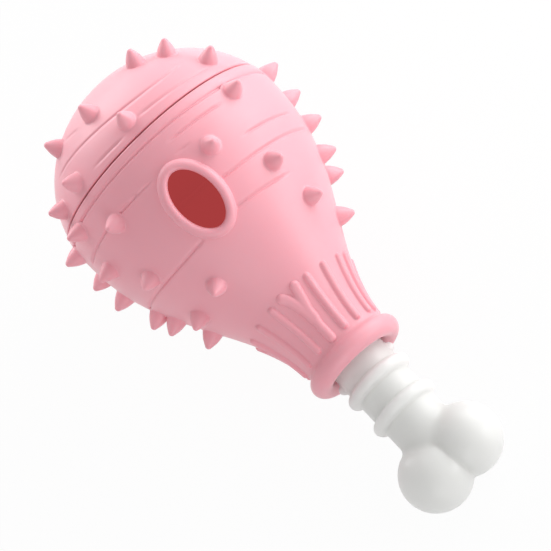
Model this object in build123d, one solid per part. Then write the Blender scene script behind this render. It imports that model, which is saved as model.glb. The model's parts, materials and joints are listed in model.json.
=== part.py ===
from build123d import *
from math import asin, atan2, cos, degrees, hypot, pi, radians, sin, sqrt
import os

# A treat-dispensing chew toy in the shape of a drumstick, lying at rest on a floor.
# Three pieces: a hollow rubber drumstick, a rubber dome cap that pulls out of its mouth,
# and a plastic bone handle that swivels in its neck.
#
# Each piece is built about the toy's own axis: +Z from the dome's pole to the bone's knobs,
# zero at the plane where cap and drumstick part, +X up past the treat port when the toy lies down.
# Angles about the axis are in degrees from +X, lengths in millimetres.

# Drumstick and dome outline
bulb_radius = 41.6
bulb_widest = 8.0
dome_height = 38.4
taper_length = 80.0
neck_radius = 15.3
wall = 5.0
taper_power = 1.15
taper_steps = 10

# Rolled collar at the end of the neck
collar_tube = 3.6
collar_radius = 17.8
collar_setback = 3.2

# Neck ribs: angles at the bulb end and the collar end, and the stem and branch of a forked one
rib_length = 20.4
rib_width = 2.7
rib_height = 1.2
rib_gap = 2.3
rib_angles = [(-72, -73), (-59, -59), (-37, -36), (-17, -16), (27, 28), (49, 57), (73, 84)]
rib_angles += [(turn, turn) for turn in range(106, 256, 18)]
fork_stem_angles = (-5, 3, 5.5)
fork_branch_angles = (12.5, 9, 5)

# Oval treat port with a rolled lip
port_place = 27.6
port_angle = 2.8
port_length = 22.7
port_width = 13.9
lip_width = 3.7
lip_trim = 0.6

# Spikes: share of the body's or the dome's length, and angle about the axis
spike_height = 5.5
spike_radius = 3.4
spike_tip = 1.0
spike_root = 1.6
rest_spike_share = 0.285
rest_spike_angle = 18
body_spike_shares = [
    (0.08, -46), (0.19, -18.5), (0.35, -40), (0.50, -53.5),
    (0.05, 60), (0.145, 38.5), (0.206, 66), (0.34, 52.5), (0.519, 33.5), (0.525, 65),
    (0.041, -92.5), (0.136, -102), (0.261, -92.5), (0.372, -91), (0.424, -103), (0.574, -88.5),
    (0.06, 85), (0.145, 102.5), (0.256, 95), (0.389, 91), (0.45, 88), (0.56, 94),
    (0.053, 180), (0.053, 150), (0.053, -150), (0.06, 120), (0.06, -120), (0.17, 132), (0.17, -132),
    (0.33, 125), (0.33, -125), (0.43, 148), (0.43, -148), (0.50, 126), (0.50, -126),
    (0.53, 180), (0.59, 150), (0.59, -150)]
dome_spike_shares = [
    (0.23, 1.5), (0.62, 15), (0.20, 42.5), (0.165, 63), (0.69, 55),
    (0.22, -54), (0.605, -49.5), (0.75, -33.5), (0.20, 120), (0.20, -120), (0.53, 118), (0.53, -118),
    (0.22, 150), (0.22, -150), (0.26, 180), (0.72, 150), (0.72, -150), (0.96, 180)]

# Cap seat: a spigot with a bead, in a mouth with a groove
cap_gap = 0.6
rim_depth = 6.0
spigot_length = 7.5
spigot_wall = 3.0
spigot_clearance = 0.3
bead_height = 0.5
bead_width = 2.4
bead_place = 4.0
groove_clearance = 0.5

# Bone handle
shaft_radius = 9.9
swivel_clearance = 0.08
bore_length = 29.2
head_radius = 14.5
head_rim = 2.4
head_dome = 3.0
end_clearance = 0.3
lug_radius = 1.7
ring_tube = 2.2
ring_radius = 12.3
first_ring = 7.9
ring_pitch = 11.9
knob_radius = 12.3
knob_spread = 14.6
knob_stagger = 1.8
knob_reach = 42.0

# One overrun for every cut
overrun = 2.0

# Places along the axis that follow from the sizes above
neck_end = bulb_widest + taper_length
collar_place = neck_end + collar_setback
body_length = collar_place + collar_tube
seat_place = collar_place - bore_length
dome_pole = bulb_widest - dome_height
rib_foot = neck_end - rib_gap
rib_top = rib_foot - rib_length
rib_middle = (rib_top + rib_foot) / 2
knob_place = body_length + knob_reach
bore_radius = shaft_radius + swivel_clearance


def ellipse_radius(place, half_length, radius):
    """Radius of the dome's half ellipse at a place along the axis."""
    return radius * sqrt(1 - ((bulb_widest - place) / half_length) ** 2)


def taper_radius(place, thinner=0.0):
    """Radius of the drumstick past its widest ring: a squared cosine from bulb to neck."""
    turn = pi / 2 * ((place - bulb_widest) / taper_length) ** taper_power
    return neck_radius + (bulb_radius - neck_radius) * cos(turn) ** 2 - thinner


def outer_radius(place):
    """Radius of the outer skin at a place along the axis."""
    if place < bulb_widest:
        return ellipse_radius(place, dome_height, bulb_radius)
    return taper_radius(place)


def outer_slope(place):
    """Change of the outer skin's radius per length along the axis."""
    if place < bulb_widest:
        offset = (bulb_widest - place) / dome_height
        return bulb_radius / dome_height * offset / sqrt(1 - offset**2)
    along = (place - bulb_widest) / taper_length
    turn = pi * along**taper_power
    rate = pi / 2 * taper_power * along ** (taper_power - 1) / taper_length
    return -(bulb_radius - neck_radius) * sin(turn) * rate


def skin_point(place, angle, lift=0.0):
    """A point on the outer skin, lifted off it along the radius."""
    radius = outer_radius(place) + lift
    return Vector(radius * cos(radians(angle)), radius * sin(radians(angle)), place)


def skin_plane(place, angle):
    """A plane on the outer skin: Z along its normal, X towards the bone."""
    radial = Vector(cos(radians(angle)), sin(radians(angle)), 0)
    axial = Vector(0, 0, 1)
    slope = outer_slope(place)
    return Plane(origin=skin_point(place, angle), x_dir=axial + radial * slope, z_dir=radial - axial * slope)


def turned(outline):
    """Revolve a closed outline, drawn as radius and place, about the toy's axis."""
    return revolve(Plane.XZ * make_face(outline), Axis.Z)


def tube(outer, inner, low, high):
    """A straight ring about the axis between two places; an inner radius of zero makes it a disc."""
    outline = Polyline((inner, low), (outer, low), (outer, high), (inner, high), close=True)
    return turned(outline)


def taper_curve(thinner):
    """The drumstick's outline from widest ring to neck end, as a smooth curve."""
    places = [bulb_widest + taper_length * step / taper_steps for step in range(taper_steps + 1)]
    points = [(taper_radius(place, thinner), place) for place in places]
    return Spline(points, tangents=[(0, 1), (0, 1)])


def dome_solid(half_length, radius, low, high):
    """An ellipsoid about the widest ring, cut to the stretch between two places."""
    whole = Pos(0, 0, bulb_widest) * scale(Sphere(1), by=(radius, radius, half_length))
    return whole & tube(bulb_radius + overrun, 0, low, high)


def spike(place, angle):
    """A cone with a round tip, rooted in the wall and square to the skin."""
    tip_centre = spike_height - spike_tip
    reach = hypot(spike_radius, tip_centre)
    lean = atan2(tip_centre, -spike_radius) - asin(spike_tip / reach)
    side = sqrt(reach**2 - spike_tip**2)
    touch = (spike_radius + side * cos(lean), side * sin(lean))
    tip_arc = RadiusArc(touch, (0, spike_height), -spike_tip)
    outline = [
        Polyline((0, spike_height), (0, -spike_root), (spike_radius, -spike_root), (spike_radius, 0), touch),
        tip_arc]
    return skin_plane(place, angle).location * turned(outline)


def rib(stops):
    """A round bar bent through three stops on the neck, half sunk in the skin."""
    lift = rib_height - rib_width / 2
    path = ThreePointArc(*[skin_point(place, angle, lift) for place, angle in stops])
    return sweep(Plane(path @ 0, z_dir=path % 0) * Circle(rib_width / 2), path=path)


def rib_envelope():
    """A turned body round all the ribs, whose ends slope into the skin where the ribs end."""
    rise = 2 * rib_height
    top_skin = outer_radius(rib_top)
    foot_skin = outer_radius(rib_foot)
    crown = top_skin + rise
    outline = Polyline(
        (0, rib_top - rise), (top_skin - rise, rib_top - rise), (crown, rib_top + rise),
        (crown, rib_foot + foot_skin - crown), (foot_skin - rise, rib_foot + rise), (0, rib_foot + rise),
        close=True)
    return turned(outline)


def neck_ribs():
    """All straight ribs round the neck, and the forked one under the treat port, with bevelled ends."""
    bar_top = rib_top - rib_width
    bar_foot = rib_foot + rib_width
    places = (bar_top, rib_middle, bar_foot)
    branch_places = (bar_top, (bar_top + rib_middle) / 2, rib_middle)
    bars = [rib(zip(places, (high, (high + low) / 2, low))) for high, low in rib_angles]
    bars += [rib(zip(places, fork_stem_angles)), rib(zip(branch_places, fork_branch_angles))]
    envelope = rib_envelope()
    return [bar & envelope for bar in bars]


def port_plane():
    return skin_plane(port_place, port_angle)


def port_lip():
    """The rolled lip: a round tube along the port's oval, half sunk in the skin."""
    half_long = (port_length + lip_width) / 2 - lip_trim
    half_wide = (port_width + lip_width) / 2 - lip_trim
    drop = half_wide**2 / (2 * outer_radius(port_place))
    oval = Ellipse(half_long, half_wide).edge()
    ring = sweep(Plane(oval @ 0, z_dir=oval % 0) * Circle(lip_width / 2), path=oval)
    return port_plane().location * Pos(0, 0, -drop) * ring


def port_cut():
    """The oval hole itself, right through the wall."""
    depth = wall + lip_width
    oval = extrude(Ellipse(port_length / 2, port_width / 2), 2 * depth)
    return port_plane().location * Pos(0, 0, -depth) * oval


def mouth_radius():
    return outer_radius(0) - wall


def mouth_cut():
    """The round mouth for the cap, with a groove for its bead."""
    groove = mouth_radius() + groove_clearance
    half = bead_width / 2 + groove_clearance
    straight = tube(mouth_radius(), 0, -overrun, bulb_widest)
    return straight + tube(groove, 0, bead_place - half, bead_place + half)


def chamber_cut():
    """The treat chamber: the outline less the wall, ending at a flat seat in the neck."""
    curve = taper_curve(wall)
    outline = [
        curve,
        Line((neck_radius - wall, neck_end), (0, neck_end)),
        Line((0, neck_end), (0, bulb_widest)),
        Line((0, bulb_widest), (bulb_radius - wall, bulb_widest))]
    return turned(outline) & tube(bulb_radius, 0, bulb_widest, seat_place)


def body_shell():
    """Hollow drumstick with spikes, neck ribs, port lip and rolled collar."""
    outline = [
        taper_curve(0),
        Line((neck_radius, neck_end), (neck_radius, collar_place)),
        Line((neck_radius, collar_place), (0, collar_place)),
        Line((0, collar_place), (0, bulb_widest)),
        Line((0, bulb_widest), (bulb_radius, bulb_widest))]
    shoulder = dome_solid(dome_height, bulb_radius, 0, bulb_widest)
    collar = Pos(0, 0, collar_place) * Torus(collar_radius - collar_tube, collar_tube)
    spikes = [spike(share * body_length, angle) for share, angle in body_spike_shares]
    spikes += [spike(rest_spike_share * body_length, 180 + side * rest_spike_angle) for side in (-1, 1)]
    body = turned(outline) + [shoulder, collar, port_lip()] + neck_ribs() + spikes
    bore = tube(bore_radius, 0, seat_place - overrun, body_length + overrun)
    return body - mouth_cut() - chamber_cut() - bore - port_cut()


def cap_shell():
    """Hollow dome with spikes and a beaded spigot that enters the drumstick's mouth."""
    bead_radius = mouth_radius() - spigot_clearance
    spigot_radius = bead_radius - bead_height
    hollow_radius = spigot_radius - spigot_wall
    dome = dome_solid(dome_height, bulb_radius, dome_pole, -cap_gap)
    spikes = [spike(share * dome_pole, angle) for share, angle in dome_spike_shares]
    spigot = tube(spigot_radius, 0, -rim_depth, spigot_length)
    bead_tube = bead_width / 2
    bead = Pos(0, 0, bead_place) * Torus(bead_radius - bead_tube, bead_tube)
    hollow = dome_solid(dome_height - wall, bulb_radius - wall, dome_pole, -rim_depth)
    hollow += tube(hollow_radius, 0, -rim_depth, spigot_length + overrun)
    return dome + spikes + [spigot, bead] - hollow


def bone_handle():
    """Bone with a retaining head in the neck, stop lugs, two grip rings and two knobs."""
    head_foot = seat_place - end_clearance
    head_top = head_foot - head_rim
    pole = head_top - head_dome
    crown = (head_radius**2 + head_dome**2) / (2 * head_dome)
    nose = knob_place - shaft_radius
    outline = [
        RadiusArc((0, pole), (head_radius, head_top), -crown),
        Polyline((head_radius, head_top), (head_radius, head_foot), (shaft_radius, head_foot)),
        Line((shaft_radius, head_foot), (shaft_radius, nose)),
        RadiusArc((shaft_radius, nose), (0, knob_place), -shaft_radius),
        Line((0, knob_place), (0, pole))]
    knobs = [
        Pos(0, side * knob_spread / 2, knob_place + side * knob_stagger / 2) * Sphere(knob_radius)
        for side in (-1, 1)]
    lug_place = body_length + end_clearance + lug_radius
    lugs = [
        Pos(0, side * shaft_radius, lug_place) * Rot(side * 90, 0, 0) * Sphere(lug_radius)
        for side in (-1, 1)]
    ring_places = [body_length + first_ring, body_length + first_ring + ring_pitch]
    rings = [Pos(0, 0, place) * Torus(ring_radius - ring_tube, ring_tube) for place in ring_places]
    return turned(outline) + lugs + rings + knobs


def lean_angle():
    """Slope of the axis, in radians, when two spikes and the farther knob touch the floor."""
    tip = skin_plane(rest_spike_share * body_length, rest_spike_angle)
    centre = tip.origin + tip.z_dir * (spike_height - spike_tip)
    along = knob_place + knob_stagger / 2 - centre.Z
    return atan2(centre.X, along) - asin((knob_radius - spike_tip) / hypot(centre.X, along))


pieces = {"body_shell": body_shell(), "cap_shell": cap_shell(), "bone_handle": bone_handle()}

# Lay the toy down: port up, axis falling towards the knobs, origin under the middle of its box
lean = lean_angle()
axis_way = Vector(cos(lean), 0, -sin(lean))
laid = Plane(origin=(0, 0, 0), x_dir=(sin(lean), 0, cos(lean)), z_dir=axis_way).location
laid_pieces = {name: laid * piece for name, piece in pieces.items()}
box = Compound(children=[piece.moved(Location()) for piece in laid_pieces.values()]).bounding_box()
parting_centre = Vector(-box.center().X, -box.center().Y, -box.min.Z)

os.makedirs("parts", exist_ok=True)
for name, piece in laid_pieces.items():
    placed = Pos(*parting_centre) * piece
    export_step(placed, f"parts/{name}.step")
    print(name, len(placed.solids()), "solid,", round(placed.volume), "cubic mm")

print("axis", [round(part, 6) for part in axis_way], "lean", round(degrees(lean), 3))
print("parting plane centre", [round(part, 3) for part in parting_centre])
print("size", [round(part, 2) for part in box.size])
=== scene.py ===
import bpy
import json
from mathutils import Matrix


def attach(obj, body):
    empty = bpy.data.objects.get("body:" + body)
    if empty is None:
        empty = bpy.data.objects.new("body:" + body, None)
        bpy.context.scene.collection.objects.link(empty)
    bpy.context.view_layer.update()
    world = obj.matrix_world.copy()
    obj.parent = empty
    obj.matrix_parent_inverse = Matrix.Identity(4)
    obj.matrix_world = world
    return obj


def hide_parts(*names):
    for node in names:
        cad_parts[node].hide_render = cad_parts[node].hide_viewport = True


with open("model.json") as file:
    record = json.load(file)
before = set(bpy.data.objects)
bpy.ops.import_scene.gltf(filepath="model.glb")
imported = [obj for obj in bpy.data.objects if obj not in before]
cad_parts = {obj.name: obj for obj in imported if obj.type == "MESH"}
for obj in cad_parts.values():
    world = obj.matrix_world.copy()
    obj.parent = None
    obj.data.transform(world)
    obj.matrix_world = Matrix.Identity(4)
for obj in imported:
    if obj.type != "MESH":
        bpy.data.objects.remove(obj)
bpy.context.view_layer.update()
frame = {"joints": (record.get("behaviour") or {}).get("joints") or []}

# %% [markdown]
# The toy is a rubber drumstick with a bone for a handle. Three things come apart in the hand: the hollow
# drumstick, the dome cap that plugs its wide end, and the bone that turns in its neck. Each of them is a
# body of turning, so all the shapes below are worked out about the toy's own axis, in millimetres: a
# place along the axis, counted from the line where cap and drumstick part, an angle round it, counted
# from the top of the lying toy, and a radius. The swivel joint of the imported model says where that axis
# lies, so nothing is fitted by eye.

# %% The toy's own axes
import json
import bmesh
import bpy
import numpy as np
from mathutils import Matrix

METRES = 0.001
swivel = next(joint for joint in frame["joints"] if joint["name"] == "bone_swivel")
axis_start = np.array(swivel["pos_m"])
axis_way = np.array(swivel["axis"])
up_way = np.array([-axis_way[2], 0.0, axis_way[0]])
side_way = np.cross(axis_way, up_way)


def in_frame(points):
    """Points on the toy's axes (x up, y aside, z along the axis, in mm) as points of the frame."""
    return axis_start + METRES * points @ np.array([up_way, side_way, axis_way])


def around(place, angle, radius):
    """The point at a place along the axis, an angle round it and a radius: polar to straight axes."""
    place, angle, radius = np.broadcast_arrays(place, angle, radius)
    return np.stack((radius * np.cos(angle), radius * np.sin(angle), place), axis=-1)


print("axis", axis_way.round(4), "starts at", axis_start.round(4))

# %% [markdown]
# The outline of the drumstick is two curves that meet at the widest ring: a half ellipse for the dome and
# the shoulder, and a squared cosine that runs from the bulb into the neck. They are the same formulas
# that the solid model uses, so the skin here lies on the solid to a fraction of a millimetre. A traced
# spline would do as well, but a formula also gives the slope, and the slope is needed to stand spikes
# square to the skin.

# %% Outline of the rubber
BULB_RADIUS = 41.6
BULB_WIDEST = 8.0
DOME_HEIGHT = 38.4
TAPER_LENGTH = 80.0
TAPER_POWER = 1.15
NECK_RADIUS = 15.3
WALL = 5.0
NECK_END = BULB_WIDEST + TAPER_LENGTH


def skin_radius(place):
    """Half ellipse before the widest ring; past it, neck + (bulb - neck) times a squared cosine."""
    offset = np.clip((BULB_WIDEST - place) / DOME_HEIGHT, 0, 1)
    dome = BULB_RADIUS * np.sqrt(1 - offset**2)
    share = np.clip((place - BULB_WIDEST) / TAPER_LENGTH, 0, 1)
    taper = NECK_RADIUS + (BULB_RADIUS - NECK_RADIUS) * np.cos(np.pi / 2 * share**TAPER_POWER) ** 2
    return np.where(place < BULB_WIDEST, dome, taper)


def skin_slope(place, step=0.01):
    """Rise of the skin's radius per millimetre along the axis, by a small difference."""
    return (skin_radius(place + step) - skin_radius(place - step)) / (2 * step)


def skin_normal(place, angle):
    """Outward normal of the skin: the radius leaned back by the slope, made one long."""
    slope = skin_slope(place)
    normal = around(-slope, angle, np.ones_like(slope))
    return normal / np.linalg.norm(normal, axis=-1, keepdims=True)


print("radius at rim, bulb and neck:", skin_radius(np.array([0.0, BULB_WIDEST, NECK_END])).round(2))

# %% [markdown]
# Every piece is a grid of points: one row for each step along an outline, one column for each step round
# the axis. A grid turns into quads with plain index arithmetic, and rows that shrink to a point at a pole
# are merged afterwards. The helper below does this for any number of grids that make one piece, and turns
# faces outwards.

# %% From grids of points to a piece


def grid_quads(rows, columns, wrap=True):
    """Corner numbers of the quads of a grid; wrap joins the last column to the first."""
    row, column = np.meshgrid(np.arange(rows - 1), np.arange(columns - (not wrap)), indexing="ij")
    right = (column + 1) % columns
    here, next_row = row * columns, (row + 1) * columns
    corners = (here + column, here + right, next_row + right, next_row + column)
    return np.stack(corners, axis=-1).reshape(-1, 4)


MERGE_DISTANCE = 2e-6


def make_piece(name, grids, body, materials, nodes=()):
    """Joins grids, each (points, quads, material number), to one closed mesh with outward faces."""
    starts = np.cumsum([0] + [points.reshape(-1, 3).shape[0] for points, _, _ in grids])
    points = np.concatenate([points.reshape(-1, 3) for points, _, _ in grids])
    quads = np.concatenate([quads + start for (_, quads, _), start in zip(grids, starts)])
    numbers = np.concatenate([np.full(len(quads), number) for _, quads, number in grids])
    mesh = bpy.data.meshes.new(name)
    mesh.from_pydata(in_frame(points), [], quads)
    mesh.polygons.foreach_set("material_index", numbers.astype(np.int32))
    shape = bmesh.new()
    shape.from_mesh(mesh)
    bmesh.ops.remove_doubles(shape, verts=shape.verts, dist=MERGE_DISTANCE)
    bmesh.ops.recalc_face_normals(shape, faces=shape.faces)
    open_edges = sum(not edge.is_manifold for edge in shape.edges)
    shape.to_mesh(mesh)
    shape.free()
    mesh.polygons.foreach_set("use_smooth", np.ones(len(mesh.polygons), bool))
    for material in materials:
        mesh.materials.append(material)
    piece = bpy.data.objects.new(name, mesh)
    bpy.context.collection.objects.link(piece)
    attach(piece, body)
    if nodes:
        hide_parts(*nodes)
    print(name, len(mesh.polygons), "faces,", open_edges, "open edges")


def arc(centre_radius, centre_place, size, start, end, steps):
    """Points (radius, place) of a circle between two turns in degrees: 0 outwards, 90 along the axis."""
    turn = np.radians(np.linspace(start, end, steps))
    return np.stack((centre_radius + size * np.cos(turn), centre_place + size * np.sin(turn)), axis=-1)


def turned(profile, angles):
    """Grid of an outline (radius, place) carried round the axis: rows are its points, columns angles."""
    return around(profile[:, 1:], angles[None, :], profile[:, :1])


def smooth_least(first, second, size):
    """The lesser of two distances, rounded over a size where they are nearly equal."""
    share = np.clip(0.5 + 0.5 * (second - first) / size, 0, 1)
    return second + (first - second) * share - size * share * (1 - share)


FRONT_TURN = np.radians(100)
FRONT_COLUMNS = 164
BACK_COLUMNS = 44
front = np.linspace(-FRONT_TURN, FRONT_TURN, FRONT_COLUMNS, endpoint=False)
back = np.linspace(FRONT_TURN, 2 * np.pi - FRONT_TURN, BACK_COLUMNS, endpoint=False)
angles = np.concatenate((front, back))
COLUMNS = len(angles)
print("one step round the bulb is", round(BULB_RADIUS * (front[1] - front[0]), 2), "mm in front")

# %% [markdown]
# Finishes are shader nodes, and their sums are easier to read as sums. The small class below wraps a
# socket: plus, minus and times on it add the Math nodes, and one method adds any other node. Colours go
# through Mix nodes, because a Math node would turn them grey.

# %% Shader sums as expressions


class Shade:
    """A socket of a shader, or the bare node tree, with arithmetic that adds nodes."""

    def __init__(self, tree, socket=None):
        self.tree = tree
        self.socket = socket

    def node(self, kind, settings, sockets, output=0):
        """Adds a node: its settings first, then the values or links of its sockets, by name or number."""
        made = self.tree.nodes.new(kind)
        for name, value in settings.items():
            setattr(made, name, value)
        for name, value in sockets.items():
            if isinstance(value, Shade):
                self.tree.links.new(value.socket, made.inputs[name])
            else:
                made.inputs[name].default_value = value
        return Shade(self.tree, made.outputs[output])

    def math(self, operation, first, second):
        """A Math node on two values, either of which may be a plain number."""
        return self.node("ShaderNodeMath", {"operation": operation}, {0: first, 1: second})

    def mix(self, share, first, second):
        """A colour between two colours, by a share from none to one."""
        settings = {"data_type": "RGBA"}
        return self.node("ShaderNodeMix", settings, {0: share, 6: first, 7: second}, output=2)

    def __add__(self, other):
        return self.math("ADD", self, other)

    def __sub__(self, other):
        return self.math("SUBTRACT", self, other)

    def __rsub__(self, other):
        return self.math("SUBTRACT", other, self)

    def __mul__(self, other):
        return self.math("MULTIPLY", self, other)

    __radd__ = __add__
    __rmul__ = __mul__


print("shader sums ready")

# %% [markdown]
# Two finishes meet the eye: soft pink rubber with a satin skin, and the white plastic of the bone. Both
# are cast, so the colour drifts a little from place to place and the skin has a fine grain, both from
# noise on Object coordinates. Light sinks into them and comes out again beside where it went in, which
# softens the edges of shadows. Some goes right through the rubber, so that the chamber shows a deep, even
# red. Tracing such light takes long, so the inside of the chamber is painted instead: a dark red base
# colour as painted shade, and a faint red glow as painted light coming through the wall.

# %% Finishes
DRIFT_SIZE = 22.0
ROUGHNESS_DRIFT = 0.1
GRAIN_SIZE = 0.9
GRAIN_HEIGHT = 0.1


def finish(name):
    """A new material: its bare node tree as a Shade, and its shader node."""
    material = bpy.data.materials.new(name)
    material.use_nodes = True
    return material, Shade(material.node_tree), material.node_tree.nodes["Principled BSDF"]


def noise(shade, size, detail=2.0):
    """Noise between none and one, with lumps of a size in millimetres, on Object coordinates."""
    where = shade.node("ShaderNodeTexCoord", {}, {}, output="Object")
    scale = 1 / (METRES * size)
    return shade.node("ShaderNodeTexNoise", {}, {"Vector": where, "Scale": scale, "Detail": detail})


def cast_finish(name, light, dark, roughness, grain):
    """A cast skin: colour drifting between two, roughness drifting a little, a fine grain as a bump."""
    material, shade, shader = finish(name)
    drift = noise(shade, DRIFT_SIZE)
    links = material.node_tree.links
    links.new(shade.mix(drift, light, dark).socket, shader.inputs["Base Color"])
    links.new((roughness + ROUGHNESS_DRIFT * (drift - 0.5)).socket, shader.inputs["Roughness"])
    grains = noise(shade, GRAIN_SIZE, detail=3.0)
    bump = shade.node(
        "ShaderNodeBump", {}, {"Strength": grain, "Distance": METRES * GRAIN_HEIGHT, "Height": grains})
    links.new(bump.socket, shader.inputs["Normal"])
    return material


def set_sockets(material, values):
    """Sets plain values on the sockets of a finish's shader, by their names."""
    for name, value in values.items():
        material.node_tree.nodes["Principled BSDF"].inputs[name].default_value = value


def let_light_in(material, share, depth, spread):
    """A share of the light sinks in by a depth in millimetres, spread by a factor for each colour."""
    set_sockets(material, {
        "Subsurface Weight": share, "Subsurface Scale": METRES * depth, "Subsurface Radius": spread})


pink_rubber = cast_finish(
    "pink_rubber", (0.885, 0.38, 0.445, 1.0), (0.865, 0.352, 0.417, 1.0), roughness=0.48, grain=0.15)
# Painted shade: the inside of the chamber is the same pink rubber, given a dark red base colour here.
chamber_painted_glow = cast_finish(
    "chamber_painted_glow", (0.16, 0.03, 0.03, 1.0), (0.15, 0.028, 0.028, 1.0), roughness=0.6, grain=0.15)
white_plastic = cast_finish(
    "white_plastic", (0.755, 0.755, 0.74, 1.0), (0.735, 0.735, 0.72, 1.0), roughness=0.38, grain=0.06)
let_light_in(pink_rubber, share=0.25, depth=0.8, spread=(1.0, 0.35, 0.35))
let_light_in(white_plastic, share=1.0, depth=12.0, spread=(1.0, 1.0, 1.0))
set_sockets(pink_rubber, {"Sheen Weight": 0.3, "Sheen Roughness": 0.4, "Specular IOR Level": 0.8})
# Painted light: a red glow on the chamber's inside stands in for light that comes through the rubber.
set_sockets(chamber_painted_glow, {
    "Emission Color": (0.33, 0.045, 0.046, 1.0), "Emission Strength": 1.0, "Specular IOR Level": 0.0})
RUBBER = [pink_rubber, chamber_painted_glow]
print("finishes:", [material.name for material in bpy.data.materials])

# %% [markdown]
# The rubber shows soft creases from the mould: a low band round the rim where the cap meets the
# drumstick, and shallow grooves that wander round the bulb. They are worked out as a relief, a depth for
# every place and angle, which is taken off the radius. A bump map could fake them, but then the mesh
# itself would be smooth.

# %% Creases in the skin
DRUMSTICK_CREASE = 0.65
DOME_CREASE = 0.42
CREASE_HALF = 0.45
CREASE_FADE = np.radians(6)
RIM_BAND = 3.0
RIM_BAND_RISE = 0.22
RIM_BAND_DROP = 5
drumstick_creases = [
    [(3.9, -100), (3.5, -68), (4.3, -47), (4.9, -29), (3.7, -10),
     (3.3, 11), (2.7, 31), (3.6, 54), (3.9, 100)],
    [(13.9, 9), (12.7, 32.5), (12.4, 78)],
    [(8.1, -4.6), (9.0, -38)],
    [(12.8, -3.5), (13.1, -13)],
    [(28.1, -5), (28.3, -38), (27.3, -84)],
    [(21.6, -33), (21.7, -73)],
    [(37.5, -2), (38.7, -47)],
    [(37.4, 12), (36.7, 45.6), (36.0, 56), (33.7, 94)]]
dome_creases = [
    [(-13.5, 58), (-12.7, 21), (-11.5, 3.5), (-11.8, -46)],
    [(-4.1, 29), (-3.4, 6)],
    [(-5.3, -3), (-4.0, -49)],
    [(-21.2, 47), (-18.9, 26)]]


def crease_relief(place, angle, creases, depth):
    """Depth of the creases: for each, a bell across a cubic through its stops, faded at its ends."""
    relief = np.zeros(np.broadcast(place, angle).shape)
    for stops in creases:
        places, turns = np.array(stops).T
        turns = np.radians(turns)
        curve = np.polyfit(turns, places, min(3, len(stops) - 1))
        inside = np.minimum(angle - turns.min(), turns.max() - angle) / CREASE_FADE
        across = (place - np.polyval(curve, angle)) / CREASE_HALF
        relief = relief + depth * np.clip(inside, 0, 1) * np.exp(-(across**2))
    return relief


def drumstick_radius(place, angle):
    """Skin radius with the rim band laid on, an S-curve that drops off, and the creases taken off."""
    band = RIM_BAND_RISE / (1 + np.exp((place - RIM_BAND) * RIM_BAND_DROP))
    return skin_radius(place) + band - crease_relief(place, angle, drumstick_creases, DRUMSTICK_CREASE)


def dome_radius(place, angle):
    """Skin radius with the dome's creases taken off."""
    return skin_radius(place) - crease_relief(place, angle, dome_creases, DOME_CREASE)


print("creases:", len(drumstick_creases) + len(dome_creases))

# %% [markdown]
# The drumstick is one moulding: a thick rubber skin from the rim, over the bulb and down the neck to the
# rolled collar, then back through the bore that holds the bone, along the chamber wall and out at the
# wide mouth. So it is one closed outline turned about the axis. The stretch round the treat port is left
# open here and filled in the next step, because a turned grid can't bend round an oval.

# %% Outline of the drumstick
RIM_ROUND = 0.5
COLLAR_RADIUS = 14.2
COLLAR_TUBE = 3.6
COLLAR_PLACE = 91.2
COLLAR_FILLET = 2.2
BORE_RADIUS = 9.98
SEAT_PLACE = 62.0
MOUTH_RADIUS = float(skin_radius(0.0)) - WALL
GROOVE_DEPTH = 0.5
GROOVE_START = 2.3
GROOVE_END = 5.7
PORT_PLACE = 27.6
PORT_TURN = np.radians(2.8)
WINDOW_HALF_LENGTH = 17.5
WINDOW_HALF_ANGLE = np.radians(19.7)
CREASE_STEP = 0.2
FINE_STEP = 0.7
COARSE_STEP = 1.0
CREASE_SAMPLES = 2000
EDGE_STEPS = 6
FILLET_STEPS = 8
COLLAR_STEPS = 30
NECK_WALL_ROWS = 15


def crease_rows(start, end):
    """Places from one to another: close together where a crease runs, wider apart elsewhere."""
    steps = np.linspace(start, end, CREASE_SAMPLES)
    crease_places = [[place for place, _ in stops] for stops in drumstick_creases]
    lows = np.array([min(places) for places in crease_places])[:, None] - 2 * CREASE_HALF
    highs = np.array([max(places) for places in crease_places])[:, None] + 2 * CREASE_HALF
    creased = np.any((steps > lows) & (steps < highs), axis=0)
    density = np.where(creased, 1 / CREASE_STEP, 1 / FINE_STEP)
    count = np.concatenate(([0], np.cumsum((density[1:] + density[:-1]) / 2 * np.diff(steps))))
    return np.interp(np.linspace(0, count[-1], round(count[-1]) + 1), count, steps)


fillet_radius = NECK_RADIUS + COLLAR_FILLET
fillet_drop = np.sqrt((COLLAR_TUBE + COLLAR_FILLET) ** 2 - (fillet_radius - COLLAR_RADIUS) ** 2)
fillet_place = COLLAR_PLACE - fillet_drop
fillet_turn = np.degrees(np.arctan2(fillet_drop, COLLAR_RADIUS - fillet_radius))

window_low = PORT_PLACE - WINDOW_HALF_LENGTH
window_high = PORT_PLACE + WINDOW_HALF_LENGTH
near_rim = crease_rows(RIM_ROUND, window_low)[:-1]
window_places = crease_rows(window_low, window_high)
towards_neck = np.linspace(window_high, fillet_place, round((fillet_place - window_high) / COARSE_STEP))
skin_places = np.concatenate((near_rim, window_places, towards_neck[1:]))

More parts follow.
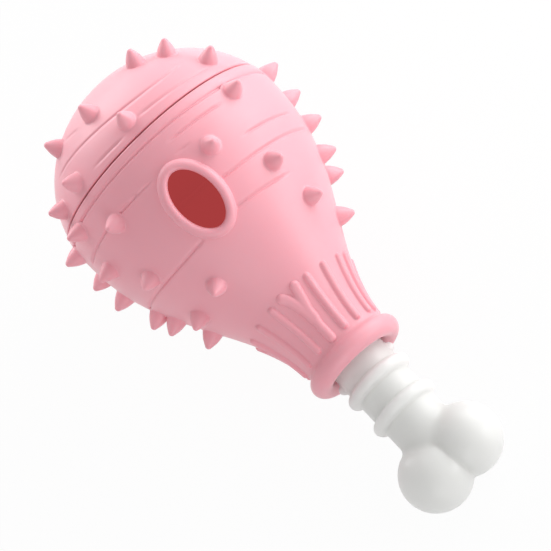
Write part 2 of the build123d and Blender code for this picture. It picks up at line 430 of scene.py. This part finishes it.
rim_radius = float(skin_radius(RIM_ROUND)) - RIM_ROUND
rim_edge = arc(rim_radius + RIM_BAND_RISE, RIM_ROUND, RIM_ROUND, -90, 0, EDGE_STEPS)[:-1]
collar = np.concatenate((
    arc(fillet_radius, fillet_place, COLLAR_FILLET, 180, fillet_turn, FILLET_STEPS)[1:],
    arc(COLLAR_RADIUS, COLLAR_PLACE, COLLAR_TUBE, fillet_turn - 180, 180, COLLAR_STEPS)[1:]))
neck_wall = np.linspace(SEAT_PLACE, window_high, NECK_WALL_ROWS, endpoint=False)
wall_places = np.concatenate((neck_wall, window_places[::-1], [BULB_WIDEST]))
lining = np.stack((skin_radius(wall_places) - WALL, wall_places), axis=-1)
groove_radius = MOUTH_RADIUS + GROOVE_DEPTH
bore = np.array([[BORE_RADIUS, COLLAR_PLACE], [BORE_RADIUS, SEAT_PLACE]])
mouth = np.array([
    [MOUTH_RADIUS, BULB_WIDEST], [MOUTH_RADIUS, GROOVE_END], [groove_radius, GROOVE_END],
    [groove_radius, GROOVE_START], [MOUTH_RADIUS, GROOVE_START], [MOUTH_RADIUS, RIM_ROUND],
    [MOUTH_RADIUS + RIM_ROUND, 0.0]])
print("rows along the skin:", len(skin_places), "and along the lining:", len(lining))

# %% Skin of the drumstick, open at the port
# Rows of the mouth that also take the chamber's painted shade and glow, so the gap there shows no dark
# line.
MOUTH_GLOW_ROWS = 3
skin_rows = skin_places[:, None]
outer = around(skin_rows, angles[None, :], drumstick_radius(skin_rows, angles[None, :]))
inner = np.concatenate((collar, bore, lining, mouth))
rim = turned(rim_edge, angles)
drumstick = np.concatenate((rim, outer, turned(inner, angles), rim[:1]))

rows, columns = drumstick.shape[:2]
quads = grid_quads(rows, columns)
row_of = quads[:, 0] // columns
column_of = quads[:, 0] % columns
window_sides = (PORT_TURN - WINDOW_HALF_ANGLE, PORT_TURN + WINDOW_HALF_ANGLE)
window_first, window_last = np.searchsorted(angles, window_sides)
window_angles = angles[window_first:window_last + 1]
in_turn = (column_of >= window_first) & (column_of < window_last)
skin_start = len(rim) + len(near_rim)
wall_start = len(rim) + len(outer) + len(collar) + len(bore) + NECK_WALL_ROWS
window_rows = len(window_places) - 1
in_skin = (row_of >= skin_start) & (row_of < skin_start + window_rows)
in_wall = (row_of >= wall_start) & (row_of < wall_start + window_rows)
inside_row = len(rim) + len(outer) + len(collar) + 1
# The chamber wall and the first rows of the mouth take the chamber's painted shade and glow.
gets_painted_glow = (row_of >= inside_row) & (row_of < inside_row + len(lining) + MOUTH_GLOW_ROWS)
keep = ~(in_turn & (in_skin | in_wall))
drumstick_grids = [
    (drumstick, quads[keep & ~gets_painted_glow], 0),
    (drumstick, quads[keep & gets_painted_glow], 1)]
print("grid of", rows, "rows and", columns, "columns,", int((~keep).sum()), "quads left out for the port")

# %% [markdown]
# The treat port is an oval hole with a rolled lip. Rings of points lead from the edge of the open window
# over the skin to the foot of the lip, up a small fillet, over the round lip, down the wall of the hole
# and out over the chamber wall to the window's inner edge. Each ring is an oval at some distance from the
# lip's centre line, so the patch is again a grid: rings one way, turns round the oval the other.

# %% Rolled lip of the treat port
LIP_HALF_LONG = 13.0
LIP_HALF_WIDE = 8.6
LIP_TUBE = 1.7
LIP_RISE = 0.5
LIP_FILLET = 0.2
LIP_STEPS = 18
SKIN_RINGS = 28
HOLE_RINGS = 7
WALL_RINGS = 8
DROP_ROUNDS = 8

port_radius = float(skin_radius(PORT_PLACE))
port_slope = float(skin_slope(PORT_PLACE))
port_centre = around(PORT_PLACE, PORT_TURN, port_radius)
port_along = around(1.0, PORT_TURN, port_slope) / np.hypot(1, port_slope)
port_aside = around(0.0, PORT_TURN + np.pi / 2, 1.0)
port_out = around(-port_slope, PORT_TURN, 1.0) / np.hypot(1, port_slope)


def under_port(along, aside, thinner=0.0):
    """The point of the skin, or of the wall below it, straight under a point of the port's plane."""
    flat = port_centre + along[..., None] * port_along + aside[..., None] * port_aside
    drop = np.zeros_like(along)
    for _ in range(DROP_ROUNDS):
        point = flat - drop[..., None] * port_out
        drop = drop + np.hypot(point[..., 0], point[..., 1]) - skin_radius(point[..., 2]) + thinner
    return flat - drop[..., None] * port_out


across = len(window_angles) - 1
loop_places = np.concatenate((
    np.full(across, window_low), window_places[:-1],
    np.full(across, window_high), window_places[:0:-1]))
loop_angles = np.concatenate((
    window_angles[:-1], np.full(window_rows, window_angles[-1]),
    window_angles[:0:-1], np.full(window_rows, window_angles[0])))
loop_skin = around(loop_places, loop_angles, drumstick_radius(loop_places, loop_angles))
loop_wall = around(loop_places, loop_angles, skin_radius(loop_places) - WALL)
from_centre = loop_skin - port_centre
oval_turn = np.arctan2(
    from_centre @ port_aside / LIP_HALF_WIDE, from_centre @ port_along / LIP_HALF_LONG)
oval = np.stack((LIP_HALF_LONG * np.cos(oval_turn), LIP_HALF_WIDE * np.sin(oval_turn)), axis=-1)
oval_out = np.stack((LIP_HALF_WIDE * np.cos(oval_turn), LIP_HALF_LONG * np.sin(oval_turn)), axis=-1)
oval_out = oval_out / np.linalg.norm(oval_out, axis=-1, keepdims=True)


def lip_ring(outwards, height, thinner=0.0):
    """A ring round the port: the lip's oval moved outwards and then up from the skin."""
    flat = oval + outwards * oval_out
    return under_port(flat[:, 0], flat[:, 1], thinner) + height * port_out


def eased_rings(start, end, count, thinner, depth):
    """Rings between two rings, straight in the port's plane and laid back on the creased skin."""
    shares = np.linspace(0, 1, count)[1:-1, None, None]
    between = (1 - shares) * start + shares * end - port_centre
    laid = under_port(between @ port_along, between @ port_aside, thinner)
    turn = np.arctan2(laid[..., 1], laid[..., 0])
    return laid - crease_relief(laid[..., 2], turn, drumstick_creases, depth)[..., None] * port_out


foot_reach = np.sqrt((LIP_TUBE + LIP_FILLET) ** 2 - (LIP_FILLET - LIP_RISE) ** 2)
lip_start = np.degrees(np.arctan2(LIP_FILLET - LIP_RISE, foot_reach))
foot_arc = arc(foot_reach, LIP_FILLET, LIP_FILLET, -90, lip_start - 180, EDGE_STEPS)
lip_arc = arc(0.0, LIP_RISE, LIP_TUBE, lip_start, 180, LIP_STEPS)
lip_rings = np.array([lip_ring(*stop) for stop in np.concatenate((foot_arc, lip_arc[1:]))])
hole_foot = lip_ring(-LIP_TUBE, 0.0, WALL)
hole_shares = np.linspace(0, 1, HOLE_RINGS)[1:, None, None]
hole_rings = (1 - hole_shares) * lip_rings[-1] + hole_shares * hole_foot
to_lip = eased_rings(loop_skin, lip_rings[0], SKIN_RINGS, 0.0, DRUMSTICK_CREASE)
to_wall = eased_rings(hole_foot, loop_wall, WALL_RINGS, WALL, 0.0)
skin_rings = np.concatenate((loop_skin[None], to_lip))
wall_rings = np.concatenate((to_wall, loop_wall[None]))
lip = np.concatenate((skin_rings, lip_rings, hole_rings, wall_rings))
lip_quads = grid_quads(*lip.shape[:2])
# The wall of the hole below the lip takes the chamber's painted shade and glow.
deep_row = len(skin_rings) + len(lip_rings) + 1
is_deep = lip_quads[:, 0] // lip.shape[1] >= deep_row
drumstick_grids += [(lip, lip_quads[~is_deep], 0), (lip, lip_quads[is_deep], 1)]
make_piece("drumstick_skin", drumstick_grids, "body", RUBBER, ["body_shell"])

# %% [markdown]
# Blunt spikes stand all over the drumstick and the dome, square to the skin. Each is an outline turned
# about its own axis: a round tip, a nearly straight side, and a small fillet that flares into the skin.
# Its rings are laid on the curved skin instead of on a flat plane, so the foot stays closed on the bulb
# and on the slope alike.

# %% Outline of a spike
SPIKE_HEIGHT = 5.5
SPIKE_RADIUS = 3.4
SPIKE_TIP = 1.15
SPIKE_FILLET = 0.8
SPIKE_SWELL = 0.3
SPIKE_TURNS = 28
SIDE_STEPS = 8
TIP_STEPS = 7

tip_centre = SPIKE_HEIGHT - SPIKE_TIP
spike_reach = np.hypot(SPIKE_RADIUS, tip_centre)
side_turn = np.arctan2(tip_centre, -SPIKE_RADIUS) - np.arcsin(SPIKE_TIP / spike_reach)
slant = np.array([np.cos(side_turn), np.sin(side_turn)])
side_length = np.sqrt(spike_reach**2 - SPIKE_TIP**2)
fillet_length = SPIKE_FILLET / np.tan(side_turn / 2)
spike_foot = SPIKE_RADIUS + fillet_length
side_shares = np.linspace(1, fillet_length / side_length, SIDE_STEPS)[:, None]
side_swell = SPIKE_SWELL * np.sin(np.pi * side_shares) * np.array([slant[1], -slant[0]])
spike_side = np.array([SPIKE_RADIUS, 0.0]) + side_shares * side_length * slant + side_swell
side_degrees = np.degrees(side_turn)
spike_profile = np.concatenate((
    arc(0.0, tip_centre, SPIKE_TIP, 90, side_degrees - 90, TIP_STEPS),
    spike_side[1:],
    arc(spike_foot, SPIKE_FILLET, SPIKE_FILLET, side_degrees + 90, 270, EDGE_STEPS)[1:],
    [[spike_foot + SPIKE_FILLET / 3, -SPIKE_FILLET / 5],
     [spike_foot, -SPIKE_FILLET], [0.0, -SPIKE_FILLET]]))
print("spike outline:", len(spike_profile), "points, foot radius", round(spike_foot, 2))

# %% Spikes on the drumstick and the dome
BODY_LENGTH = COLLAR_PLACE + COLLAR_TUBE
DOME_POLE = BULB_WIDEST - DOME_HEIGHT
REST_SPIKE = 0.285
REST_TURN = 18
body_spikes = [
    (0.08, -46), (0.19, -18.5), (0.35, -40), (0.50, -53.5),
    (0.05, 60), (0.145, 38.5), (0.206, 66), (0.34, 52.5), (0.519, 33.5), (0.525, 65),
    (0.041, -92.5), (0.136, -102), (0.261, -92.5), (0.372, -91), (0.424, -103), (0.574, -88.5),
    (0.06, 85), (0.145, 102.5), (0.256, 95), (0.389, 91), (0.45, 88), (0.56, 94),
    (0.053, 180), (0.053, 150), (0.053, -150), (0.06, 120), (0.06, -120), (0.17, 132), (0.17, -132),
    (0.33, 125), (0.33, -125), (0.43, 148), (0.43, -148), (0.50, 126), (0.50, -126),
    (0.53, 180), (0.59, 150), (0.59, -150),
    (REST_SPIKE, 180 - REST_TURN), (REST_SPIKE, 180 + REST_TURN)]
dome_spikes = [
    (0.23, 1.5), (0.62, 15), (0.20, 42.5), (0.165, 63), (0.69, 55),
    (0.22, -54), (0.605, -49.5), (0.75, -33.5), (0.20, 120), (0.20, -120), (0.53, 118), (0.53, -118),
    (0.22, 150), (0.22, -150), (0.26, 180), (0.72, 150), (0.72, -150), (0.96, 180)]


def spike_grids(shares, length):
    """All spikes at once: rings of the outline, bent onto the skin and raised along its normal."""
    places, turns = np.array(shares).T
    places = (places * length)[:, None, None]
    turns = np.radians(turns)[:, None, None]
    spin = np.linspace(0, 2 * np.pi, SPIKE_TURNS, endpoint=False)[None, None, :]
    radius = spike_profile[None, :, :1]
    slope = skin_slope(places)
    normal = skin_normal(places, turns)
    along = np.stack(np.broadcast_arrays(slope * np.cos(turns), slope * np.sin(turns), 1.0), axis=-1)
    along = along / np.linalg.norm(along, axis=-1, keepdims=True)
    aside = np.cross(normal, along)
    centre = around(places, turns, skin_radius(places))
    reach_along = (radius * np.cos(spin))[..., None] * along
    reach_aside = (radius * np.sin(spin))[..., None] * aside
    flat = centre + reach_along + reach_aside
    sink = np.hypot(flat[..., 0], flat[..., 1]) - skin_radius(flat[..., 2])
    points = flat + (spike_profile[None, :, 1:] - sink)[..., None] * normal
    each = points.shape[1] * points.shape[2]
    first_corners = each * np.arange(len(points))[:, None, None]
    quads = grid_quads(*points.shape[1:3])[None] + first_corners
    return [(points, quads.reshape(-1, 4), 0)]


make_piece(
    "drumstick_spikes", spike_grids(body_spikes, BODY_LENGTH), "body", [pink_rubber])
make_piece(
    "dome_spikes", spike_grids(dome_spikes, DOME_POLE), "cap", [pink_rubber])

# %% [markdown]
# Long ribs run down the neck. A rib is a round back carried along a line on the skin, with round ends.
# Its grid has one column for each step round the rib's outer edge and one row for each step from the edge
# up to the crest, where the two sides meet.

# %% Ribs on the neck
RIB_TOP = 66.3
RIB_FOOT = 84.8
RIB_HALF = 1.35
RIB_HEIGHT = 1.2
RIB_FILLET = 0.5
RIB_STEPS = 24
RIB_END_STEPS = 10
RIB_FILLET_STEPS = 5
RIB_BACK_STEPS = 9
FAR_SIDE_RIBS = range(106, 256, 18)
rib_middle = (RIB_TOP + RIB_FOOT) / 2
rib_angles = [(-72, -73), (-59, -59), (-38, -37), (-18, -17), (26, 28), (48.5, 54), (73, 84)]
rib_angles += [(turn, turn) for turn in FAR_SIDE_RIBS]
rib_lines = [
    [(RIB_TOP, high), (rib_middle, (high + low) / 2), (RIB_FOOT, low)] for high, low in rib_angles]

rib_drop = RIB_HEIGHT - RIB_HALF
rib_reach = np.sqrt((RIB_HALF + RIB_FILLET) ** 2 - (RIB_FILLET - rib_drop) ** 2)
rib_turn = np.degrees(np.arctan2(RIB_FILLET - rib_drop, rib_reach))
rib_profile = np.concatenate((
    [[0.0, -RIB_HALF], [rib_reach, -RIB_HALF], [rib_reach + RIB_FILLET / 2, -RIB_FILLET / 3]],
    arc(rib_reach, RIB_FILLET, RIB_FILLET, -90, rib_turn - 180, RIB_FILLET_STEPS),
    arc(0.0, rib_drop, RIB_HALF, rib_turn, 90, RIB_BACK_STEPS)[1:]))

one_way = np.linspace(0, 1, RIB_STEPS)
walk = np.concatenate((one_way, np.ones(RIB_END_STEPS), one_way[::-1], np.zeros(RIB_END_STEPS)))
sideways = np.full(RIB_STEPS, np.pi / 2)
half_turn = np.linspace(np.pi / 2, -np.pi / 2, RIB_END_STEPS + 2)[1:-1]
facing = np.concatenate((sideways, half_turn, -sideways, half_turn - np.pi))


def rib_grid(stops):
    """A rib through three stops: a parabola on the skin, its outline set off sideways and raised."""
    places, turns = np.array(stops).T
    turns = np.radians(turns)
    place_curve = np.polyfit([0, 0.5, 1], places, 2)
    turn_curve = np.polyfit([0, 0.5, 1], turns, 2)
    place = np.polyval(place_curve, walk)
    turn = np.polyval(turn_curve, walk)
    rise = np.polyval(np.polyder(place_curve), walk) * np.hypot(1, skin_slope(place))
    sweep = np.polyval(np.polyder(turn_curve), walk) * skin_radius(place)
    way = np.arctan2(sweep, rise) + facing
    off = rib_profile[:, :1]
    edge_place = place + off * np.cos(way) / np.hypot(1, skin_slope(place))
    edge_turn = turn + off * np.sin(way) / skin_radius(edge_place)
    base = around(edge_place, edge_turn, skin_radius(edge_place))
    points = base + rib_profile[:, 1:, None] * skin_normal(edge_place, edge_turn)
    return points, grid_quads(*points.shape[:2]), 0


rib_grids = [rib_grid(stops) for stops in rib_lines]
print("straight ribs:", len(rib_grids))

# %% [markdown]
# One rib forks towards the treat port, and its two lobes melt into the stem. Crossed bars would leave a
# sharp seam, so this rib is a relief instead: the skin is laid flat, the distance to three lines drawn on
# it is rounded off where they meet, and that distance sets the height. The patch dips under the skin all
# round and has a floor of its own.

# %% The forked rib
FORK_LINES = [
    ([(66.1, 12.1), (67.8, 9.1), (70.1, 6.9), (73.0, 5.4), (76.5, 3.9)], 1.55),
    ([(65.9, -4.3), (69.3, -2.1), (73.1, 1.3), (76.5, 3.5)], 1.5),
    ([(76.5, 3.5), (80.6, 4.5), (85.0, 4.7)], 1.35)]
FORK_START = 63.6
FORK_END = 87.2
FORK_ROWS = 130
FORK_COLUMNS = 60
FORK_TURNS = np.radians(np.linspace(-12, 21, FORK_COLUMNS))
FORK_EDGE = 0.35
FORK_BLEND = 1.0
FORK_DIP = 0.25
FORK_FLOOR = 1.0

fork_places = np.linspace(FORK_START, FORK_END, FORK_ROWS)
fork_lengths = np.cumsum(np.hypot(1, skin_slope(fork_places))) * (fork_places[1] - fork_places[0])


def laid_flat(place, turn):
    """The neck's skin unrolled: the length along the outline and the length round the axis."""
    return np.stack((np.interp(place, fork_places, fork_lengths), turn * skin_radius(place)), axis=-1)


def line_distance(points, stops):
    """Distance to a line of straight stretches: to each one's nearest point, then the least of them."""
    starts = stops[:-1]
    ways = stops[1:] - starts
    apart = points[..., None, :] - starts
    share = np.clip((apart * ways).sum(axis=-1) / (ways**2).sum(axis=-1), 0, 1)
    return np.linalg.norm(apart - share[..., None] * ways, axis=-1).min(axis=-1)


fork_place, fork_turn = np.meshgrid(fork_places, FORK_TURNS, indexing="ij")
fork_flat = laid_flat(fork_place, fork_turn)
fork_out = np.full(fork_place.shape, np.inf)
for stops, half_width in FORK_LINES:
    places, turns = np.array(stops).T
    away = line_distance(fork_flat, laid_flat(places, np.radians(turns))) - half_width
    fork_out = np.where(np.isinf(fork_out), away, smooth_least(fork_out, away, FORK_BLEND))
fork_share = np.clip((FORK_EDGE - fork_out) / (FORK_EDGE + RIB_HALF), 0, 1)
fork_height = (RIB_HEIGHT + FORK_DIP) * np.sqrt(1 - (1 - fork_share) ** 2) - FORK_DIP
fork_height[[0, -1]] = -FORK_FLOOR
fork_base = around(fork_place, fork_turn, skin_radius(fork_place))
fork_normal = skin_normal(fork_place, fork_turn)
fork_top = fork_base + fork_height[..., None] * fork_normal
fork_floor = fork_base - FORK_FLOOR * fork_normal
fork = np.concatenate((fork_top, fork_floor[:, ::-1]), axis=1)
rib_grids.append((fork, grid_quads(*fork.shape[:2]), 0))
make_piece("neck_ribs", rib_grids, "body", [pink_rubber])

# %% [markdown]
# The dome cap closes the drumstick's mouth. Outside it carries on the bulb's ellipse, with creases and
# spikes of its own; inside, a spigot with a round bead goes into the mouth and holds by friction. It is
# one closed outline turned about the axis, from the pole over the rim and the spigot to the hollow's own
# pole.

# %% Dome cap
CAP_GAP = 0.6
RIM_DEPTH = 6.0
SPIGOT_RADIUS = 34.887
SPIGOT_LENGTH = 7.5
SPIGOT_WALL = 3.0
BEAD_PLACE = 4.0
BEAD_TUBE = 1.2
BEAD_RISE = 0.5
BEAD_STEPS = 9
SPIGOT_EDGE_STEPS = 4
DOME_ROWS = 190
HOLLOW_ROWS = 40
SPIGOT_GLOW_ROWS = 6


def half_ellipse(radius, half_length, start_place, rows):
    """Points (radius, place) of an ellipse about the widest ring, from a place to the pole."""
    first = np.arcsin((BULB_WIDEST - start_place) / half_length)
    turn = np.linspace(first, np.pi / 2, rows)
    return np.stack((radius * np.cos(turn), BULB_WIDEST - half_length * np.sin(turn)), axis=-1)


cap_rim = -CAP_GAP - RIM_ROUND
dome_outline = half_ellipse(BULB_RADIUS, DOME_HEIGHT, cap_rim, DOME_ROWS)[::-1]
dome_places = dome_outline[:, 1:]
dome_outer = around(dome_places, angles[None, :], dome_radius(dome_places, angles[None, :]))
dome_outer[0] = [0.0, 0.0, DOME_POLE]
cap_edge = arc(float(skin_radius(cap_rim)) - RIM_ROUND, cap_rim, RIM_ROUND, 0, 90, EDGE_STEPS)[1:]
bead_centre = SPIGOT_RADIUS + BEAD_RISE - BEAD_TUBE
bead_turn = np.degrees(np.arccos((SPIGOT_RADIUS - bead_centre) / BEAD_TUBE))
hollow_radius = SPIGOT_RADIUS - SPIGOT_WALL
hollow = half_ellipse(BULB_RADIUS - WALL, DOME_HEIGHT - WALL, -RIM_DEPTH, HOLLOW_ROWS)
hollow[-1, 0] = 0.0
spigot = np.concatenate((
    [[SPIGOT_RADIUS, -CAP_GAP]],
    arc(bead_centre, BEAD_PLACE, BEAD_TUBE, -bead_turn, bead_turn, BEAD_STEPS),
    arc(SPIGOT_RADIUS - RIM_ROUND, SPIGOT_LENGTH - RIM_ROUND, RIM_ROUND, 0, 90, SPIGOT_EDGE_STEPS),
    [[hollow_radius, SPIGOT_LENGTH], [hollow_radius, -RIM_DEPTH]],
    hollow))
dome_grid = np.concatenate((dome_outer, turned(np.concatenate((cap_edge, spigot)), angles)))
dome_quads = grid_quads(*dome_grid.shape[:2])
# The inside of the spigot and the cap's hollow take the chamber's painted shade and glow.
glow_row = len(dome_grid) - len(hollow) - SPIGOT_GLOW_ROWS
in_hollow = dome_quads[:, 0] // COLUMNS >= glow_row
dome_grids = [(dome_grid, dome_quads[~in_hollow], 0), (dome_grid, dome_quads[in_hollow], 1)]
make_piece("dome_skin", dome_grids, "cap", RUBBER, ["cap_shell"])

# %% [markdown]
# The bone is hard white plastic, moulded in one: a head that the neck holds, a shaft with two stop lugs
# and two grip rings, and two ball knobs at the end. The pieces flow into each other in soft hollows,
# which no turned outline can give, so the bone is a sum of simple distances instead: a cylinder, two
# rings, two lugs and two balls, joined by a smooth minimum. Rays from the axis, and at the end rays from
# between the knobs, find the surface by halving.

# %% Distances of the bone's parts
SHAFT_RADIUS = 9.9
RING_RADIUS = 10.1
RING_TUBE = 2.2
RING_PLACES = (BODY_LENGTH + 7.9, BODY_LENGTH + 19.8)
LUG_RADIUS = 1.7
LUG_PLACE = BODY_LENGTH + 2.0
KNOB_RADIUS = 12.3
KNOB_ASIDE = 7.3
KNOB_AHEAD = 0.9
KNOB_PLACE = BODY_LENGTH + 42.0
SHAFT_BLEND = 2.2
RING_BLEND = 0.8
KNOB_CREASE = 0.6
HALVINGS = 40


def bone_distance(points):
    """Signed distance, nearly, to the bone: less than zero inside."""
    x, y, place = np.moveaxis(points, -1, 0)
    radius = np.hypot(x, y)
    past = np.maximum(place - (KNOB_PLACE - SHAFT_RADIUS), 0)
    bone = np.hypot(radius, past) - SHAFT_RADIUS
    for ring_place in RING_PLACES:
        ring = np.hypot(radius - RING_RADIUS, place - ring_place) - RING_TUBE
        bone = smooth_least(bone, ring, RING_BLEND)
    lug = np.sqrt(x**2 + (np.abs(y) - SHAFT_RADIUS) ** 2 + (place - LUG_PLACE) ** 2) - LUG_RADIUS
    bone = smooth_least(bone, lug, RING_BLEND)
    ahead = place - KNOB_PLACE
    far, near = [
        np.sqrt(x**2 + (y - side * KNOB_ASIDE) ** 2 + (ahead - side * KNOB_AHEAD) ** 2) - KNOB_RADIUS
        for side in (1, -1)]
    return smooth_least(bone, smooth_least(near, far, KNOB_CREASE), SHAFT_BLEND)


def bone_surface(starts, leans, turns):
    """Points where rays from places on the axis, leaned towards the knobs, leave the bone, by halving."""
    start = around(starts, 0.0, np.zeros_like(starts))[:, None, :]
    way = around(np.sin(leans)[:, None], turns[None, :], np.cos(leans)[:, None])
    low = np.zeros(way.shape[:2])
    high = np.full(way.shape[:2], 3 * KNOB_RADIUS)
    for _ in range(HALVINGS):
        middle = (low + high) / 2
        inside = bone_distance(start + middle[..., None] * way) < 0
        low = np.where(inside, middle, low)
        high = np.where(inside, high, middle)
    return start + low[..., None] * way


print("bone reaches", round(KNOB_PLACE + KNOB_AHEAD + KNOB_RADIUS, 1), "mm past the parting line")

# %% Bone handle
BONE_COLUMNS = 160
HEAD_RADIUS = 14.5
HEAD_RIM = 2.4
HEAD_DOME = 3.0
END_GAP = 0.3
BONE_STEP = 0.3
HEAD_STEPS = 10
KNOB_ROWS = 64
bone_turns = np.linspace(-np.pi, np.pi, BONE_COLUMNS, endpoint=False)
head_foot = SEAT_PLACE - END_GAP
head_top = head_foot - HEAD_RIM
crown = (HEAD_RADIUS**2 + HEAD_DOME**2) / (2 * HEAD_DOME)
crown_turn = np.degrees(np.arcsin(HEAD_RADIUS / crown))
head = np.concatenate((
    arc(0.0, head_top - HEAD_DOME + crown, crown, -90, crown_turn - 90, HEAD_STEPS),
    [[HEAD_RADIUS, head_foot], [SHAFT_RADIUS, head_foot]]))
head[0, 0] = 0.0
shaft_places = np.concatenate((
    [SEAT_PLACE, COLLAR_PLACE],
    np.linspace(BODY_LENGTH - 1, KNOB_PLACE, round((KNOB_PLACE - BODY_LENGTH + 1) / BONE_STEP))))
leans = np.radians(np.linspace(0, 90, KNOB_ROWS))[1:]
shaft = bone_surface(shaft_places, np.zeros_like(shaft_places), bone_turns)
knobs = bone_surface(np.full_like(leans, KNOB_PLACE), leans, bone_turns)
bone_grid = np.concatenate((turned(head, bone_turns), shaft, knobs))
bone_grids = [(bone_grid, grid_quads(*bone_grid.shape[:2]), 0)]
make_piece("bone_skin", bone_grids, "bone", [white_plastic], ["bone_handle"])

# %% [markdown]
# The photo looks down on the toy from the bone's side, from far off, so that the lines hardly draw
# together. The camera stands on the line of sight that was measured there: the axis leans towards it, and
# runs down to the right across the picture.

# %% Camera
AXIS_TOWARDS_CAMERA = np.radians(13.5)
AXIS_ACROSS_PICTURE = np.radians(46.4)
PICTURE_WIDTH = 176.3
CAMERA_ANGLE = np.radians(1.5)
TARGET_RIGHT = 35.9
TARGET_UP = -38.46
SENSOR = 36.0
SEEN_METRES = 20.0

to_camera = np.cos(AXIS_TOWARDS_CAMERA) * up_way + np.sin(AXIS_TOWARDS_CAMERA) * axis_way
axis_seen = np.cos(AXIS_TOWARDS_CAMERA) * axis_way - np.sin(AXIS_TOWARDS_CAMERA) * up_way
picture_right = np.cos(AXIS_ACROSS_PICTURE) * axis_seen - np.sin(AXIS_ACROSS_PICTURE) * side_way
picture_up = -np.sin(AXIS_ACROSS_PICTURE) * axis_seen - np.cos(AXIS_ACROSS_PICTURE) * side_way
distance = PICTURE_WIDTH / 2 / np.tan(CAMERA_ANGLE / 2)
eye = axis_start + METRES * (TARGET_RIGHT * picture_right + TARGET_UP * picture_up + distance * to_camera)

lens = bpy.data.cameras.new("camera")
lens.sensor_width = SENSOR
lens.lens = SENSOR / 2 / np.tan(CAMERA_ANGLE / 2)
lens.clip_end = SEEN_METRES
camera = bpy.data.objects.new("camera", lens)
bpy.context.collection.objects.link(camera)
turn = np.column_stack((picture_right, picture_up, to_camera))
camera.matrix_world = Matrix.Translation(eye) @ Matrix(turn.tolist()).to_4x4()
bpy.context.scene.camera = camera
print("camera", round(distance), "mm away, lens", round(lens.lens), "mm")

# %% [markdown]
# The light is that of a photographer's white tent. A broad soft lamp on the far side gives the bright
# upper right edge and the rosy shade on the near side. A lower one beside it reaches the neck and the
# collar, a wide one stands at the dome's end, and a weak one at the bone's end; the world is pale and
# even. They are weak enough for the white bone to keep its colour. The floor is white. What the camera
# sees of it is lifted to paper white by a share of emission, so that only the toy's soft shadow stays on
# it.

# %% Light and floor
WORLD_LIGHT = 0.54
FLOOR_LIFT = 0.95
FLOOR_HALF = 4.0
WHITE = (1.0, 1.0, 1.0, 1.0)
FLOOR_WHITE = (0.9, 0.9, 0.9, 1.0)
BACKDROP_RAYS = ("Is Camera Ray", "Is Glossy Ray", "Is Transmission Ray")


def area_lamp(name, way, distance, size, power):
    """A square lamp that looks at the toy from a direction, at a distance in metres."""
    lamp = bpy.data.lights.new(name, "AREA")
    lamp.size = size
    lamp.energy = power
    holder = bpy.data.objects.new(name, lamp)
    bpy.context.collection.objects.link(holder)
    way = np.array(way) / np.linalg.norm(way)
    aside = np.cross([0.0, 0.0, 1.0], way)
    aside = aside / np.linalg.norm(aside)
    turn = np.column_stack((aside, np.cross(way, aside), way))
    holder.matrix_world = Matrix.Translation(distance * way) @ Matrix(turn.tolist()).to_4x4()


area_lamp("key_lamp", (-0.3, 0.93, 0.38), distance=0.5, size=0.4, power=1.6)
area_lamp("side_lamp", (0.5, 0.95, 0.15), distance=1.2, size=0.5, power=5.2)
area_lamp("rim_lamp", (-1.0, -0.1, 0.15), distance=1.2, size=0.9, power=11.5)
area_lamp("fill_lamp", (1.0, -0.4, 0.3), distance=1.2, size=0.6, power=2.5)


def backdrop_rays(shade):
    """One for rays that show the backdrop: straight to the camera, or by way of gloss or glass."""
    camera_ray, glossy_ray, clear_ray = [
        shade.node("ShaderNodeLightPath", {}, {}, output=name) for name in BACKDROP_RAYS]
    return shade.math("MAXIMUM", camera_ray, shade.math("MAXIMUM", glossy_ray, clear_ray))


world = bpy.data.worlds.new("white_tent")
bpy.context.scene.world = world
world.use_nodes = True
world_shade = Shade(world.node_tree)
background = world.node_tree.nodes["Background"]
background.inputs["Color"].default_value = WHITE
strength = WORLD_LIGHT + (1 - WORLD_LIGHT) * backdrop_rays(world_shade)
world.node_tree.links.new(strength.socket, background.inputs["Strength"])

floor_finish = bpy.data.materials.new("white_floor")
floor_finish.use_nodes = True
floor_shade = Shade(floor_finish.node_tree)
floor_nodes = floor_finish.node_tree.nodes
floor_nodes.remove(floor_nodes["Principled BSDF"])
plain = floor_shade.node("ShaderNodeBsdfDiffuse", {}, {"Color": FLOOR_WHITE})
glow = floor_shade.node("ShaderNodeEmission", {}, {"Color": WHITE, "Strength": 1.0})
share = FLOOR_LIFT * backdrop_rays(floor_shade)
mixed = floor_shade.node("ShaderNodeMixShader", {}, {0: share, 1: plain, 2: glow})
floor_finish.node_tree.links.new(mixed.socket, floor_nodes["Material Output"].inputs["Surface"])

floor_mesh = bpy.data.meshes.new("floor")
corners = FLOOR_HALF * np.array([[-1, -1, 0], [1, -1, 0], [1, 1, 0], [-1, 1, 0]])
floor_mesh.from_pydata(corners, [], [(0, 1, 2, 3)])
floor_mesh.materials.append(floor_finish)
floor = bpy.data.objects.new("floor", floor_mesh)
bpy.context.collection.objects.link(floor)

bpy.context.scene.view_settings.view_transform = "Standard"
